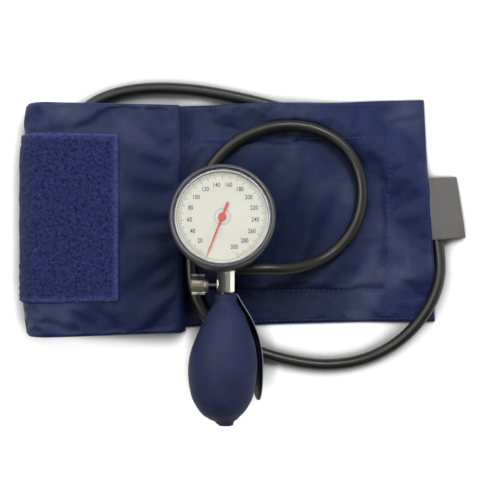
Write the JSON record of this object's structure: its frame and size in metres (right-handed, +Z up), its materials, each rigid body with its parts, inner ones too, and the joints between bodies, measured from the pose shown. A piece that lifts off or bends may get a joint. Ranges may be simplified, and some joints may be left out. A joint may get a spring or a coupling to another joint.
{
  "type": "aneroid sphygmomanometer",
  "caption": "Palm-held dial pressure gauge with squeeze bulb, bleed valve and finger lever, on a rubber hose to a folded arm cuff.",
  "frame": {"origin": "on the table, at the middle of the object's box without the hose", "axes": "+X along the laid-out cuff towards its label, +Y from the bulb towards the gauge, +Z up from the table"},
  "size_m": [0.2864, 0.2209, 0.0551],
  "materials": {
    "ring_rubber": "soft satin anthracite",
    "case_shell": "satin blue-black plastic",
    "spacer_white": "white moulded plastic",
    "lens": "clear polished lens",
    "dial_print": "off-white lacquer with printed scale",
    "pointer_red": "red lacquer",
    "brass": "turned brass",
    "steel": "turned steel",
    "capsule_bronze": "rolled bronze sheet",
    "chrome": "polished chrome plate",
    "seal_rubber": "black rubber",
    "bulb_rubber": "matt blue-grey rubber",
    "spoon_metal": "dark blue-black lacquer",
    "hose_rubber": "dark grey-olive rubber",
    "cuff_nylon": "navy woven nylon",
    "loop_pile": "royal blue loop pile",
    "hook_tape": "dark blue hook tape",
    "label_tape": "grey woven tape"
  },
  "bodies": {
    "base": {"bezel_ring": "ring_rubber", "gauge_case": "case_shell", "crystal": "lens", "dial_plate": "dial_print", "crystal_gasket": "seal_rubber", "dial_spacer_ring": "spacer_white", "movement_back_plate": "brass", "movement_bridge": "brass", "movement_pillars": "brass", "plate_screws": "steel", "bridge_screws": "steel", "hairspring": "capsule_bronze", "capsule_lower_sheet": "capsule_bronze", "capsule_upper_sheet": "capsule_bronze", "capsule_stem": "brass", "inlet_tube": "brass", "capsule_screw": "steel", "valve_body": "chrome", "case_nut": "brass", "needle_seal": "seal_rubber", "hose_nipple": "chrome", "outlet_ball_seat": "brass", "outlet_spring": "steel", "bulb": "bulb_rubber", "inlet_valve_body": "chrome", "inlet_cage": "brass", "hose": "hose_rubber", "cuff_shell": "cuff_nylon", "bladder": "seal_rubber", "bladder_port": "seal_rubber", "loop_field": "loop_pile", "hook_patch": "hook_tape", "side_label": "label_tape"},
    "pointer_set": {"pointer": "pointer_red", "pinion_arbor": "steel"},
    "sector": {"sector_gear": "brass"},
    "rocker": {"rocking_shaft": "brass"},
    "lift_pin": {"capsule_lift_pin": "brass"},
    "needle": {"release_needle": "steel"},
    "knob": {"release_knob": "chrome"},
    "check_ball": {"outlet_ball": "steel"},
    "suction_ball": {"inlet_ball": "steel"},
    "spoon": {"finger_spoon": "spoon_metal"}
  },
  "joints": [
    {"name": "sector_swing", "type": "hinge", "parent": "base", "child": "sector", "pos_m": [-0.00815, 0.00658, 0.04212], "axis": [0, 0.1736, 0.9848], "range_deg": [0, 39.75]},
    {"name": "pointer_turn", "type": "hinge", "parent": "base", "child": "pointer_set", "pos_m": [-0.0131, 0.0272, 0.046], "axis": [0, -0.1736, -0.9848], "range_deg": [0, 318]},
    {"name": "rocker_turn", "type": "hinge", "parent": "base", "child": "rocker", "pos_m": [-0.0091, 0.02477, 0.03221], "axis": [0, 0.9848, -0.1736], "range_deg": [0, 26.01]},
    {"name": "capsule_lift", "type": "slide", "parent": "base", "child": "lift_pin", "axis": [0, 0.1736, 0.9848], "range_m": [0, 0.0018], "stiffness_N_per_m": 500, "deforming": ["capsule_upper_sheet"]},
    {"name": "needle_travel", "type": "slide", "parent": "base", "child": "needle", "axis": [-1, 0, 0], "range_m": [0, 0.00075]},
    {"name": "knob_turn", "type": "hinge", "parent": "needle", "child": "knob", "pos_m": [-0.0113, -0.0152, 0.0275], "axis": [-1, 0, 0], "range_deg": [0, 540]},
    {"name": "outlet_lift", "type": "slide", "parent": "base", "child": "check_ball", "axis": [0, 1, 0], "range_m": [0, 0.0008], "stiffness_N_per_m": 40, "deforming": ["outlet_spring"]},
    {"name": "inlet_lift", "type": "slide", "parent": "base", "child": "suction_ball", "axis": [0, 1, 0], "range_m": [0, 0.0008]},
    {"name": "spoon_swivel", "type": "hinge", "parent": "base", "child": "spoon", "pos_m": [-0.0113, -0.0198, 0.0275], "axis": [0, -1, 0], "range_deg": [0, 240]}
  ],
  "couplings": [
    {"joint": "sector_swing", "follows": "capsule_lift", "rad_per_m": 385.42},
    {"joint": "pointer_turn", "follows": "capsule_lift", "rad_per_m": 3083.4},
    {"joint": "rocker_turn", "follows": "capsule_lift", "rad_per_m": 252.16},
    {"joint": "knob_turn", "follows": "needle_travel", "rad_per_m": 12566}
  ]
}
